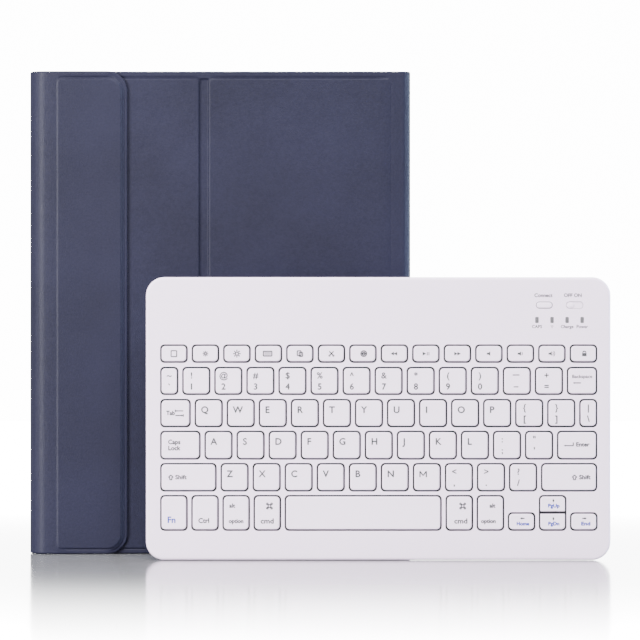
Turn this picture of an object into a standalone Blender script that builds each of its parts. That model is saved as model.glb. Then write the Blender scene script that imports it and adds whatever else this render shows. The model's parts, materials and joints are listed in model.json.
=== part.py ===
"""Tablet keyboard case: a closed folio standing on its short edge, with its loose keyboard in front.

Metres, +Z up. The origin is at the bottom centre of the whole object's box. +X is to the right and
-Y is the side that the folio's face and the keys look to. MM turns millimetres into metres.
"""

import math

import bpy
import bmesh
from mathutils import Vector

MM = 0.001
GAP = 0.3 * MM

# Driving dimensions of the folio
FOLIO_WIDTH = 196.5 * MM
FOLIO_HEIGHT = 250.0 * MM
FOLIO_DEPTH = 25.5 * MM
TOTAL_WIDTH = 296.2 * MM
FOLIO_FACE_Y = 10.25 * MM
PANEL_THICKNESS = 2.6 * MM
LINING = 0.35 * MM
FLAP_REACH = 50.0 * MM
FLAP_ROLL_RADIUS = 8.5 * MM
SPINE_ROLL_RADIUS = 4.0 * MM
ROLL_THICKNESS = 2.4 * MM
CORNER_RADIUS = 10.5 * MM
CREASE_LEFT = 87.7 * MM
CREASE_WIDTH = 4.0 * MM
SPINE_BAND = 6.1 * MM
CREASE_THICKNESS = 1.2 * MM
HINGE_SHARE = 0.215

# Driving dimensions of the tablet tray
TRAY_WIDTH = 174.0 * MM
TRAY_HEIGHT = 244.0 * MM
TRAY_DEPTH = 9.6 * MM
TRAY_WALL = 1.6 * MM
TRAY_FLOOR = 1.0 * MM
TRAY_LIP = 0.9 * MM
TRAY_RADIUS = 9.0 * MM
CAMERA_RADIUS = 7.5 * MM

# Driving dimensions of the keyboard
KEYBOARD_WIDTH = 234.4 * MM
KEYBOARD_HEIGHT = 142.7 * MM
KEYBOARD_DEPTH = 6.0 * MM
KEYBOARD_RADIUS = 9.3 * MM
DECK_Y = -34.75 * MM
DECK_THICKNESS = 1.0 * MM
SHELL_WALL = 1.3 * MM
KEY_RISE = 1.0 * MM
KEY_TRAVEL = 1.2 * MM
KEY_CLEARANCE = 0.55 * MM
KEY_RADIUS = 1.7 * MM
KEY_BACK = 1.9 * MM
WEB_FRONT = 1.3 * MM
SIDE_MARGIN = 7.9 * MM
BLOCK_WIDTH = 218.95 * MM
KEY_PITCH = 16.16 * MM
KEY_WIDTH = 12.84 * MM
KEY_GAP = KEY_PITCH - KEY_WIDTH
SMALL_KEY_WIDTH = 12.5 * MM
FUNCTION_PITCH = (BLOCK_WIDTH - SMALL_KEY_WIDTH) / 13
MODIFIER_PITCH = 15.69 * MM

# Heights of the key rows above the keyboard's lower edge, as (bottom, top)
BOTTOM_ROW = (15.5 * MM, 32.15 * MM)
LOWER_ROW = (35.3 * MM, 48.3 * MM)
MIDDLE_ROW = (51.4 * MM, 64.6 * MM)
UPPER_ROW = (67.7 * MM, 80.6 * MM)
NUMBER_ROW = (84.0 * MM, 96.8 * MM)
FUNCTION_ROW = (100.2 * MM, 108.1 * MM)
ARROW_SPLIT = 24.0 * MM

# Controls in the keyboard's top band: distances from its right and top edges
BUTTON_FROM_RIGHT = 33.5 * MM
SWITCH_FROM_RIGHT = 18.2 * MM
CONTROLS_FROM_TOP = 14.1 * MM
CONTROL_SIZE = (8.4 * MM, 3.5 * MM)
KNOB_SIZE = (3.6 * MM, 2.7 * MM)
SWITCH_TRAVEL = 4.0 * MM
LIGHT_FROM_RIGHT = 14.4 * MM
LIGHT_PITCH = 7.6 * MM
LIGHTS_FROM_TOP = 21.6 * MM
LIGHT_SIZE = (1.5 * MM, 2.8 * MM)

# Places worked out from the driving dimensions
LEFT = -TOTAL_WIDTH / 2
FOLIO_RIGHT = LEFT + FOLIO_WIDTH
FOLIO_BACK_Y = FOLIO_FACE_Y + FOLIO_DEPTH
PANEL_Y = FOLIO_FACE_Y + PANEL_THICKNESS + GAP
FLAP_START = LEFT + FLAP_ROLL_RADIUS + 0.5 * MM
FLAP_END = LEFT + FLAP_REACH
PANEL_LEFT = LEFT + 7.1 * MM
PANEL_RIGHT = FOLIO_RIGHT - SPINE_ROLL_RADIUS - SPINE_BAND
CREASE_X = LEFT + CREASE_LEFT
TRAY_LEFT = LEFT + 8.1 * MM
TRAY_BOTTOM = (FOLIO_HEIGHT - TRAY_HEIGHT) / 2
TRAY_Y = PANEL_Y + PANEL_THICKNESS + GAP
COVER_Y = FOLIO_BACK_Y - PANEL_THICKNESS
KEYBOARD_LEFT = TOTAL_WIDTH / 2 - KEYBOARD_WIDTH
KEYBOARD_RIGHT = TOTAL_WIDTH / 2

NAVY = (0.062, 0.067, 0.130)
NAVY_LINING = (0.035, 0.038, 0.070)
WHITE = (0.80, 0.78, 0.82)
BLACK = (0.02, 0.02, 0.022)
STEEL = (0.55, 0.56, 0.58)


def clear_scene():
    for item in list(bpy.data.objects):
        bpy.data.objects.remove(item)


def paint(item, name, colour, roughness, metallic=0.0):
    material = bpy.data.materials.get(name)
    if material is None:
        material = bpy.data.materials.new(name)
        material.use_nodes = True
        shader = material.node_tree.nodes["Principled BSDF"]
        shader.inputs["Base Color"].default_value = (*colour, 1.0)
        shader.inputs["Roughness"].default_value = roughness
        shader.inputs["Metallic"].default_value = metallic
    item.data.materials.append(material)
    return item


def extrude(name, outline, axis, low, high):
    """A closed prism: outline holds 2-D points in the two axes that are left, in X, Y, Z order."""
    def place(point, depth):
        u, v = point
        return {"X": (depth, u, v), "Y": (u, depth, v), "Z": (u, v, depth)}[axis]

    shape = bmesh.new()
    base = shape.faces.new([shape.verts.new(place(point, low)) for point in outline])
    grown = bmesh.ops.extrude_face_region(shape, geom=[base])["geom"]
    moved = [part for part in grown if isinstance(part, bmesh.types.BMVert)]
    bmesh.ops.translate(shape, verts=moved, vec=Vector(place((0, 0), high - low)))
    bmesh.ops.recalc_face_normals(shape, faces=shape.faces)
    mesh = bpy.data.meshes.new(name)
    shape.to_mesh(mesh)
    shape.free()
    item = bpy.data.objects.new(name, mesh)
    bpy.context.scene.collection.objects.link(item)
    return item


def rounded(left, right, bottom, top, radii, steps=3):
    """A rectangle with its own corner radii: lower left, lower right, upper right, upper left."""
    corners = (
        (left, bottom, 1, 1, 180),
        (right, bottom, -1, 1, 270),
        (right, top, -1, -1, 0),
        (left, top, 1, -1, 90),
    )
    points = []
    for (x, z, inward_x, inward_z, start), radius in zip(corners, radii):
        if radius == 0:
            points.append((x, z))
            continue
        centre = (x + inward_x * radius, z + inward_z * radius)
        for step in range(steps + 1):
            angle = math.radians(start + 90 * step / steps)
            offset = (radius * math.cos(angle), radius * math.sin(angle))
            points.append((centre[0] + offset[0], centre[1] + offset[1]))
    return points


def box(name, low, high):
    outline = rounded(low[0], high[0], low[2], high[2], (0, 0, 0, 0))
    return extrude(name, outline, "Y", low[1], high[1])


def roll_outline(outer_x, inward, front_y, back_y, radius, thickness, steps=6):
    """A C-shaped section in X and Y, whose two round corners are on outer_x."""
    centre_x = outer_x + inward * radius

    def arc(size, centre_y, start, turn):
        for step in range(steps + 1):
            angle = math.radians(start + turn * step / steps)
            yield centre_x - inward * size * math.cos(angle), centre_y + size * math.sin(angle)

    outer = list(arc(radius, front_y + radius, -90, 90)) + list(arc(radius, back_y - radius, 0, 90))
    size = radius - thickness
    inner = list(arc(size, front_y + radius, -90, 90)) + list(arc(size, back_y - radius, 0, 90))
    return outer + inner[::-1]


def join(name, pieces):
    """One mesh from several that don't touch, used as the tool of a Boolean."""
    shape = bmesh.new()
    for piece in pieces:
        shape.from_mesh(piece.data)
        bpy.data.objects.remove(piece)
    mesh = bpy.data.meshes.new(name)
    shape.to_mesh(mesh)
    shape.free()
    item = bpy.data.objects.new(name, mesh)
    bpy.context.scene.collection.objects.link(item)
    return item


def combine(item, tool, operation="DIFFERENCE"):
    modifier = item.modifiers.new(tool.name, "BOOLEAN")
    modifier.operation = operation
    modifier.object = tool
    tool.hide_render = True
    tool.display_type = "WIRE"
    return item


def bevel(item, width, angle=60):
    modifier = item.modifiers.new("edge", "BEVEL")
    modifier.width = width
    modifier.segments = 1
    modifier.limit_method = "ANGLE"
    modifier.angle_limit = math.radians(angle)
    return item


def axis_empty(name, place, children):
    """Parents the pieces of a moving body to an empty that lies on its joint's axis."""
    empty = bpy.data.objects.new(name, None)
    bpy.context.scene.collection.objects.link(empty)
    empty.location = place
    for child in children:
        child.parent = empty
        child.matrix_parent_inverse.translation = -Vector(place)
    return empty


def leather(item):
    return paint(item, "navy_leather", NAVY, 0.62)


def lining(item):
    return paint(item, "navy_lining", NAVY_LINING, 0.9)


def steel(item):
    return paint(item, "steel", STEEL, 0.35, 1.0)


def white_plastic(item):
    return paint(item, "white_plastic", WHITE, 0.45)


# ---------------------------------------------------------------- folio


def sheet(name, left, right, front_y, back_y, radii=(0, 0, 0, 0), inset=0.0):
    outline = rounded(left + inset, right - inset, inset, FOLIO_HEIGHT - inset, radii)
    return extrude(name, outline, "Y", front_y, back_y)


def pocket(name, low, high):
    return box(name + "_pocket", [value - GAP for value in low], [value + GAP for value in high])


def camera_cutter(name, front_y, back_y, radius):
    x = TRAY_LEFT + TRAY_WALL + 11.5 * MM
    z = TRAY_BOTTOM + TRAY_HEIGHT - TRAY_WALL - 11.5 * MM
    ring = rounded(x - radius, x + radius, z - radius, z + radius, (radius,) * 4, 5)
    return extrude(name, ring, "Y", front_y, back_y)


def make_back_panel():
    skin_back = PANEL_Y + PANEL_THICKNESS - LINING - 0.15 * MM
    corners = (CORNER_RADIUS, 0, 0, CORNER_RADIUS)
    outer = sheet("back_panel_outer_board", PANEL_LEFT, CREASE_X - GAP, PANEL_Y, skin_back, corners)
    combine(outer, camera_cutter("board_camera_cutter", PANEL_Y - MM, skin_back + MM, 8.5 * MM))
    inner = sheet("back_panel_inner_board", CREASE_X + CREASE_WIDTH + GAP, PANEL_RIGHT, PANEL_Y, skin_back)
    crease_y = PANEL_Y + 0.6 * MM
    crease = sheet("stand_crease", CREASE_X, CREASE_X + CREASE_WIDTH, crease_y, crease_y + CREASE_THICKNESS)
    band = sheet("spine_crease_rear", PANEL_RIGHT + GAP, PANEL_RIGHT + SPINE_BAND - GAP,
                 PANEL_Y, PANEL_Y + CREASE_THICKNESS)
    inside = sheet("back_panel_lining", PANEL_LEFT, PANEL_RIGHT, skin_back + 0.15 * MM,
                   PANEL_Y + PANEL_THICKNESS, (CORNER_RADIUS - MM, 0, 0, CORNER_RADIUS - MM), MM)
    combine(inside, camera_cutter("lining_camera_cutter", skin_back - MM, TRAY_Y + MM, 8.8 * MM))
    low = (FLAP_END - 13 * MM, PANEL_Y + 1.2 * MM, 0.22 * FOLIO_HEIGHT)
    high = (FLAP_END - 5 * MM, skin_back - 0.2 * MM, 0.78 * FOLIO_HEIGHT)
    combine(outer, pocket("flap_catch_strip", low, (high[0], high[1] + MM, high[2])))
    catch = steel(box("flap_catch_strip", low, high))
    for item in (outer, inner, crease, band):
        leather(item)
    lining(inside)
    return [outer, inner, crease, band, inside, catch]


def make_tray():
    right = TRAY_LEFT + TRAY_WIDTH
    top = TRAY_BOTTOM + TRAY_HEIGHT
    outline = rounded(TRAY_LEFT, right, TRAY_BOTTOM, top, (TRAY_RADIUS,) * 4)
    tray = extrude("tablet_tray", outline, "Y", TRAY_Y, TRAY_Y + TRAY_DEPTH)

    def hollow(name, wall, radius, front_y, back_y):
        hole = rounded(TRAY_LEFT + wall, right - wall, TRAY_BOTTOM + wall, top - wall, (radius,) * 4)
        return extrude(name, hole, "Y", front_y, back_y)

    mouth_y = TRAY_Y + TRAY_DEPTH
    combine(tray, hollow("tray_hollow", TRAY_WALL, 7.6 * MM, TRAY_Y + TRAY_FLOOR, mouth_y - TRAY_LIP))
    combine(tray, hollow("tray_mouth", TRAY_WALL + MM, 6.6 * MM, TRAY_Y + 5 * MM, mouth_y + MM))
    combine(tray, camera_cutter("tray_camera_cutter", TRAY_Y - MM, TRAY_Y + 3 * MM, CAMERA_RADIUS))
    notch_y = TRAY_Y + TRAY_FLOOR + 1.2 * MM
    middle = (TRAY_LEFT + right) / 2
    notches = (
        ("port_notch", (middle - 32 * MM, -MM), (middle + 32 * MM, TRAY_BOTTOM + 2.2 * MM)),
        ("socket_notch", (right - 42 * MM, top - 2.2 * MM), (right - 12 * MM, top + MM)),
        ("power_notch", (TRAY_LEFT + 26 * MM, top - 2.2 * MM), (TRAY_LEFT + 48 * MM, top + MM)),
        ("volume_notch", (TRAY_LEFT - MM, top - 72 * MM), (TRAY_LEFT + 2.2 * MM, top - 30 * MM)),
    )
    for name, low, high in notches:
        cutter = box(name, (low[0], notch_y, low[1]), (high[0], mouth_y + MM, high[1]))
        combine(tray, cutter)
    return [paint(tray, "tray_plastic", BLACK, 0.5)]


def make_spine():
    outline = roll_outline(FOLIO_RIGHT, -1, PANEL_Y, FOLIO_BACK_Y, SPINE_ROLL_RADIUS, 2.0 * MM)
    return [leather(extrude("spine_board", outline, "Z", 0, FOLIO_HEIGHT))]


def make_front_cover():
    left = LEFT + FLAP_ROLL_RADIUS + 0.5 * MM
    skin_y = COVER_Y + LINING + 0.15 * MM
    board = sheet("front_cover_board", left, PANEL_RIGHT, skin_y, FOLIO_BACK_Y)
    inside = sheet("front_cover_lining", left, PANEL_RIGHT, COVER_Y, skin_y - 0.15 * MM, inset=MM)
    band = sheet("spine_crease_front", PANEL_RIGHT + GAP, PANEL_RIGHT + SPINE_BAND - GAP,
                 FOLIO_BACK_Y - CREASE_THICKNESS, FOLIO_BACK_Y)
    pieces = [leather(board), lining(inside), leather(band)]
    for side, x in (("left", -110 * MM), ("right", 5 * MM)):
        name = "keyboard_dock_plate_" + side
        low = (x, skin_y + 0.2 * MM, 0.2 * FOLIO_HEIGHT)
        high = (x + 8 * MM, skin_y + 1.2 * MM, 0.8 * FOLIO_HEIGHT)
        combine(board, pocket(name, (low[0], low[1] - MM, low[2]), high))
        pieces.append(steel(box(name, low, high)))
    return pieces


def make_flap_edge():
    outline = roll_outline(LEFT, 1, FOLIO_FACE_Y, FOLIO_BACK_Y, FLAP_ROLL_RADIUS, ROLL_THICKNESS)
    return [leather(extrude("flap_edge_strip", outline, "Z", 0, FOLIO_HEIGHT))]


def make_flap():
    skin_back = FOLIO_FACE_Y + PANEL_THICKNESS - LINING - 0.15 * MM
    corners = (0, CORNER_RADIUS, CORNER_RADIUS, 0)
    board = sheet("flap_board", FLAP_START, FLAP_END, FOLIO_FACE_Y, skin_back, corners)
    inside = sheet("flap_lining", FLAP_START, FLAP_END, skin_back + 0.15 * MM,
                   FOLIO_FACE_Y + PANEL_THICKNESS, (0, CORNER_RADIUS - MM, CORNER_RADIUS - MM, 0), MM)
    pieces = [leather(board), lining(inside)]
    for index in range(3):
        name = f"flap_magnet_{index + 1}"
        z = FOLIO_HEIGHT * (0.3 + 0.2 * index)
        low = (FLAP_END - 12 * MM, FOLIO_FACE_Y + 0.8 * MM, z - 9 * MM)
        high = (FLAP_END - 6 * MM, skin_back - 0.2 * MM, z + 9 * MM)
        combine(board, pocket(name, low, (high[0], high[1] + MM, high[2])))
        pieces.append(steel(box(name, low, high)))
    return pieces


# ------------------------------------------------------------- keyboard


def key_rows():
    """Each key as (name, left, right, bottom, top), in the keyboard's own plane."""
    keys = []

    def add(name, left, width, row):
        keys.append((name, left, left + width, row[0], row[1]))

    for index in range(14):
        left = SIDE_MARGIN + index * FUNCTION_PITCH
        add("function_key_row", left, SMALL_KEY_WIDTH, FUNCTION_ROW)
    rows = (
        (NUMBER_ROW, "number_key_row", 7.8 * MM, "number_key_row", 12, "key_backspace"),
        (UPPER_ROW, "key_tab", 14.05 * MM, "upper_letter_row", 12, "upper_letter_row"),
        (MIDDLE_ROW, "key_caps_lock", 19.0 * MM, "middle_letter_row", 11, "key_enter"),
        (LOWER_ROW, "key_shift_left", 27.1 * MM, "lower_letter_row", 10, "key_shift_right"),
    )
    end = SIDE_MARGIN + BLOCK_WIDTH
    for row, first_name, first_width, name, count, last_name in rows:
        add(first_name, SIDE_MARGIN, first_width, row)
        start = SIDE_MARGIN + first_width + KEY_GAP
        for index in range(count):
            add(name, start + index * KEY_PITCH, KEY_WIDTH, row)
        last = start + count * KEY_PITCH
        add(last_name, last, end - last, row)
    left_names = ("key_fn", "key_control", "key_option_left", "key_command_left")
    for index, name in enumerate(left_names):
        add(name, SIDE_MARGIN + index * MODIFIER_PITCH, SMALL_KEY_WIDTH, BOTTOM_ROW)
    right_start = end - SMALL_KEY_WIDTH - 4 * MODIFIER_PITCH + 0.2 * MM
    space_left = SIDE_MARGIN + 4 * MODIFIER_PITCH
    add("key_space", space_left, right_start - KEY_GAP - space_left, BOTTOM_ROW)
    add("key_command_right", right_start, SMALL_KEY_WIDTH, BOTTOM_ROW)
    add("key_option_right", right_start + MODIFIER_PITCH, SMALL_KEY_WIDTH, BOTTOM_ROW)
    low = (BOTTOM_ROW[0], ARROW_SPLIT - KEY_CLEARANCE)
    high = (ARROW_SPLIT + KEY_CLEARANCE, BOTTOM_ROW[1])
    for index, name in enumerate(("key_arrow_left", "key_arrow_down", "key_arrow_right")):
        add(name, right_start + (2 + index) * MODIFIER_PITCH, SMALL_KEY_WIDTH, low)
    add("key_arrow_up", right_start + 3 * MODIFIER_PITCH, SMALL_KEY_WIDTH, high)
    return keys


def deck_prism(name, left, right, bottom, top, radius, front, back, steps=2):
    """A rounded prism given in the keyboard's plane, with depths behind the deck's face."""
    outline = rounded(KEYBOARD_LEFT + left, KEYBOARD_LEFT + right, bottom, top, (radius,) * 4, steps)
    return extrude(name, outline, "Y", DECK_Y + front, DECK_Y + back)


def make_keys(keys):
    """One node for each wide key, and one for each row of standard keys, which a thin web joins."""
    names = list(dict.fromkeys(key[0] for key in keys))
    pieces = {}
    for name in names:
        mine = [key[1:] for key in keys if key[0] == name]
        caps = [deck_prism(f"{name}_cap_{n}", *key, KEY_RADIUS, -KEY_RISE,
                           KEY_BACK - 0.2 * MM if len(mine) > 1 else KEY_BACK)
                for n, key in enumerate(mine)]
        if len(mine) == 1:
            piece = caps[0]
            piece.name = name
            bevel(piece, 0.3 * MM)
        else:
            left = min(key[0] for key in mine) + MM
            right = max(key[1] for key in mine) - MM
            inset = 0.3 * (mine[0][3] - mine[0][2])
            piece = deck_prism(name, left, right, mine[0][2] + inset, mine[0][3] - inset,
                               0.0, WEB_FRONT, KEY_BACK, 1)
            combine(piece, join(name + "_caps", caps), "UNION")
        pieces[name] = white_plastic(piece)
    return pieces


def place_control(from_right, from_top, size):
    """(left, right, bottom, top) of a control in the keyboard's top band."""
    x = KEYBOARD_WIDTH - from_right
    z = KEYBOARD_HEIGHT - from_top
    return x - size[0] / 2, x + size[0] / 2, z - size[1] / 2, z + size[1] / 2


def grown(sides, by):
    return sides[0] - by, sides[1] + by, sides[2] - by, sides[3] + by


def light_places():
    return [place_control(LIGHT_FROM_RIGHT + index * LIGHT_PITCH, LIGHTS_FROM_TOP, LIGHT_SIZE)
            for index in range(4)]


def make_top_cover(keys):
    whole = (0, KEYBOARD_WIDTH, 0, KEYBOARD_HEIGHT)
    cover = deck_prism("keyboard_top_cover", *whole, KEYBOARD_RADIUS, 0, KEYBOARD_DEPTH, 6)
    bevel(cover, 0.6 * MM)
    inner = KEYBOARD_RADIUS - SHELL_WALL
    hollow = deck_prism("cover_hollow", *grown(whole, -SHELL_WALL), inner,
                        DECK_THICKNESS, KEYBOARD_DEPTH + MM, 6)
    combine(cover, hollow)
    holes = []
    for number, (name, left, right, bottom, top) in enumerate(keys):
        if name == "key_arrow_up":
            continue
        if name == "key_arrow_down":
            top = BOTTOM_ROW[1]
        sides = grown((left, right, bottom, top), KEY_CLEARANCE)
        holes.append(deck_prism(f"key_hole_{number}", *sides, KEY_RADIUS, -MM, 3 * MM, 1))
    for sides in light_places():
        holes.append(deck_prism("light_hole", *grown(sides, 0.1 * MM), 0.3 * MM, -MM, 3 * MM, 1))
    button = place_control(BUTTON_FROM_RIGHT, CONTROLS_FROM_TOP, CONTROL_SIZE)
    slot = place_control(SWITCH_FROM_RIGHT, CONTROLS_FROM_TOP, CONTROL_SIZE)
    radius = CONTROL_SIZE[1] / 2 - 0.1 * MM
    holes.append(deck_prism("button_hole", *button, radius, -MM, 3 * MM, 3))
    holes.append(deck_prism("switch_hole", *slot, radius, -MM, 3 * MM, 3))
    combine(cover, join("cover_holes", holes))
    port = place_control(46 * MM, -0.5 * MM, (9.6 * MM, 6 * MM))
    combine(cover, deck_prism("port_hole", *port, 0, 1.6 * MM, 4.6 * MM, 1))
    return white_plastic(cover)


def make_controls():
    button = place_control(BUTTON_FROM_RIGHT, CONTROLS_FROM_TOP, CONTROL_SIZE)
    slot = place_control(SWITCH_FROM_RIGHT, CONTROLS_FROM_TOP, CONTROL_SIZE)
    press = deck_prism("connect_button", *grown(button, -0.3 * MM), 1.3 * MM, -0.25 * MM, 2.2 * MM, 3)
    knob_left = slot[0] + GAP
    knob_sides = (knob_left, knob_left + KNOB_SIZE[0], slot[2] + 0.4 * MM, slot[3] - 0.4 * MM)
    knob = deck_prism("power_switch", *knob_sides, 1.2 * MM, -0.1 * MM, 2.2 * MM, 3)
    lights = light_places()
    bar = (lights[-1][0] - MM, lights[0][1] + MM, lights[0][2] - 0.6 * MM, lights[0][3] + 0.6 * MM)
    guide = deck_prism("light_guide", *bar, 0, 1.4 * MM, 2.4 * MM, 1)
    pins = [deck_prism(f"light_pin_{n}", *sides, 0.3 * MM, 0, 1.6 * MM, 1) for n, sides in enumerate(lights)]
    combine(guide, join("light_pins", pins), "UNION")
    paint(guide, "light_guide", (0.55, 0.60, 0.62), 0.2)
    return white_plastic(press), white_plastic(knob), guide


def make_keyboard_inside():
    """The sheets, board, battery and socket between the two halves of the shell."""
    block = (SIDE_MARGIN - 2 * MM, KEYBOARD_WIDTH - SIDE_MARGIN + 2 * MM, 12 * MM, 110.5 * MM)
    membrane = deck_prism("membrane_sheet", *block, MM, 3.4 * MM, 3.7 * MM, 1)
    plate = deck_prism("key_support_plate", *block, MM, 4.0 * MM, 4.6 * MM, 1)
    paint(membrane, "membrane", (0.30, 0.32, 0.34), 0.5)
    steel(plate)
    band = (112.5 * MM, KEYBOARD_HEIGHT - 8.5 * MM)
    right = KEYBOARD_WIDTH - 8 * MM
    circuit = deck_prism("circuit_board", right - 60 * MM, right, *band, 0.8 * MM, 3.4 * MM, 4.4 * MM, 1)
    battery = deck_prism("battery_cell", 50 * MM, 130 * MM, *band, 1.5 * MM, 1.6 * MM, 4.6 * MM, 2)
    paint(circuit, "circuit_board", (0.02, 0.12, 0.05), 0.4)
    paint(battery, "battery_wrap", (0.60, 0.60, 0.62), 0.35)
    magnets = []
    for side, left in (("left", 12 * MM), ("right", 140 * MM)):
        bar = (left, left + 24 * MM, 114 * MM, 122 * MM)
        magnets.append(steel(deck_prism("keyboard_magnet_" + side, *bar, 0, 1.6 * MM, 4.6 * MM, 1)))
    port_sides = place_control(46 * MM, 4.9 * MM, (9.0 * MM, 7.0 * MM))
    port = deck_prism("charging_socket", *port_sides, 0, 1.75 * MM, 4.45 * MM, 1)
    mouth = (port_sides[0] + 0.4 * MM, port_sides[1] - 0.4 * MM, port_sides[3] - 5.5 * MM, port_sides[3] + MM)
    combine(port, deck_prism("socket_mouth", *mouth, 0, 2.1 * MM, 4.1 * MM, 1))
    tongue = (port_sides[0] + 1.6 * MM, port_sides[1] - 1.6 * MM, port_sides[2] + MM, port_sides[3] - MM)
    combine(port, deck_prism("socket_tongue", *tongue, 0, 2.8 * MM, 3.4 * MM, 1), "UNION")
    steel(port)
    return [membrane, plate, circuit, battery, port] + magnets


def make_bottom_cover():
    inset = SHELL_WALL + GAP
    sides = (inset, KEYBOARD_WIDTH - inset, inset, KEYBOARD_HEIGHT - inset)
    cover = deck_prism("keyboard_bottom_cover", *sides, KEYBOARD_RADIUS - inset, 5.0 * MM, KEYBOARD_DEPTH, 6)
    pieces = [white_plastic(cover)]
    for column, x in (("left", 14 * MM), ("right", KEYBOARD_WIDTH - 26 * MM)):
        for row, z in (("lower", 9 * MM), ("upper", KEYBOARD_HEIGHT - 13 * MM)):
            foot_name = f"rubber_foot_{row}_{column}"
            foot = deck_prism(foot_name, x, x + 12 * MM, z, z + 4 * MM, 2 * MM,
                              KEYBOARD_DEPTH - 0.2 * MM, KEYBOARD_DEPTH + 0.5 * MM, 3)
            sides = grown((x, x + 12 * MM, z, z + 4 * MM), 0.2 * MM)
            combine(cover, deck_prism(foot_name + "_seat", *sides, 2 * MM,
                                      KEYBOARD_DEPTH - 0.5 * MM, KEYBOARD_DEPTH + MM, 3))
            pieces.append(paint(foot, "rubber", BLACK, 0.85))
    return pieces


def hinge_place(outer_x, inward, roll_radius, face_y, inward_y):
    share = HINGE_SHARE * roll_radius
    return outer_x + inward * share, face_y + inward_y * share, 0.0


def main():
    clear_scene()
    make_back_panel()
    make_tray()
    spine_rear = hinge_place(FOLIO_RIGHT, -1, SPINE_ROLL_RADIUS, PANEL_Y, 1)
    spine_front = hinge_place(FOLIO_RIGHT, -1, SPINE_ROLL_RADIUS, FOLIO_BACK_Y, -1)
    flap_rear = hinge_place(LEFT, 1, FLAP_ROLL_RADIUS, FOLIO_BACK_Y, -1)
    flap_front = hinge_place(LEFT, 1, FLAP_ROLL_RADIUS, FOLIO_FACE_Y, 1)
    axis_empty("spine_axis", spine_rear, make_spine())
    axis_empty("cover_axis", spine_front, make_front_cover())
    axis_empty("flap_edge_axis", flap_rear, make_flap_edge())
    axis_empty("flap_axis", flap_front, make_flap())
    keys = key_rows()
    button, knob, guide = make_controls()
    shell = [make_top_cover(keys), guide] + make_keyboard_inside() + make_bottom_cover()
    keyboard_middle = KEYBOARD_LEFT + KEYBOARD_WIDTH / 2
    axis_empty("keyboard_axis", (keyboard_middle, DECK_Y, KEYBOARD_HEIGHT / 2), shell)
    moving = dict(make_keys(keys), connect_button=button, power_switch=knob)
    for name, piece in moving.items():
        corner = piece.data.vertices[0].co
        axis_empty(name + "_axis", (corner.x, DECK_Y, corner.z), [piece])


main()
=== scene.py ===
"""Looks of the tablet keyboard case: the leather folio with its flap, and the loose keyboard."""
import json
import math

import bmesh
import bpy
from mathutils import Matrix, Vector


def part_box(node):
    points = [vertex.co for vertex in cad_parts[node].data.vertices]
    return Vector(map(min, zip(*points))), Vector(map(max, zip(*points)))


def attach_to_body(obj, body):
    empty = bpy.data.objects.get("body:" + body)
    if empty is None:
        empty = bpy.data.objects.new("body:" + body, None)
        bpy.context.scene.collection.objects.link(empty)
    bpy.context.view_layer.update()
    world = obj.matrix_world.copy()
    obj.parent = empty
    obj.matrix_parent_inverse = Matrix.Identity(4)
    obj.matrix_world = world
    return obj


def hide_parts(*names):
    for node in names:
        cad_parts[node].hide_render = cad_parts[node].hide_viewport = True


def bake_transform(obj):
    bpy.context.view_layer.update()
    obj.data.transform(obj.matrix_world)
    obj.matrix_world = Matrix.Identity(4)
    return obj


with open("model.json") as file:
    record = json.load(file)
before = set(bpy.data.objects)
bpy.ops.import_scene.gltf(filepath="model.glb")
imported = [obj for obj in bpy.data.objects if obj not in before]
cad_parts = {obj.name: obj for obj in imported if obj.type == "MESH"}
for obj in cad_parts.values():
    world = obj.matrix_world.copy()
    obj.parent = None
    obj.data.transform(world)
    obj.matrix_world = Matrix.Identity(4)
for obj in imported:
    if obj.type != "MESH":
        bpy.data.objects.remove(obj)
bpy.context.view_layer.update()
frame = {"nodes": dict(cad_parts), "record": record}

MM = 0.001

# ---- camera

CAMERA_DISTANCE = 1.750
CAMERA_HEIGHT = 0.1211
CAMERA_SIDE = 0.0015
CAMERA_LENS = 190.2

# ---- places in the frame

FLAP_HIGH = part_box("flap_board")[1]
EDGE_LOW, EDGE_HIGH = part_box("flap_edge_strip")
SPINE_LOW, SPINE_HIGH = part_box("spine_board")
OUTER_LOW, OUTER_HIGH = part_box("back_panel_outer_board")
INNER_LOW, INNER_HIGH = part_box("back_panel_inner_board")
TRAY_LOW, TRAY_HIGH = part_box("tablet_tray")
DECK_LOW, DECK_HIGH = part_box("keyboard_top_cover")

FACE_Y = EDGE_LOW.y
BACK_Y = EDGE_HIGH.y
PANEL_Y = OUTER_LOW.y
HEIGHT = OUTER_HIGH.z
LEFT_SWELL = 1.05 * MM
FOLIO_LEFT = EDGE_LOW.x - LEFT_SWELL
FOLIO_RIGHT = SPINE_HIGH.x
FLAP_ROLL = EDGE_HIGH.x - EDGE_LOW.x
SPINE_ROLL = SPINE_HIGH.x - SPINE_LOW.x


# ---- mesh helpers


def linked(name, data):
    item = bpy.data.objects.new(name, data)
    bpy.context.scene.collection.objects.link(item)
    return item


def smooth_shaded(mesh, angle):
    """Smooth shading, with sharp edges where faces meet at more than the angle, in degrees."""
    mesh.shade_smooth()
    mesh.set_sharp_from_angle(angle=math.radians(angle))


def new_object(name, shape, material, smooth=40):
    bmesh.ops.recalc_face_normals(shape, faces=shape.faces)
    mesh = bpy.data.meshes.new(name)
    shape.to_mesh(mesh)
    shape.free()
    if material is not None:
        mesh.materials.append(material)
    if smooth:
        smooth_shaded(mesh, smooth)
    return linked(name, mesh)


def smoothstep(low, high, value):
    t = min(1.0, max(0.0, (value - low) / (high - low)))
    return t * t * (3 - 2 * t)


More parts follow.
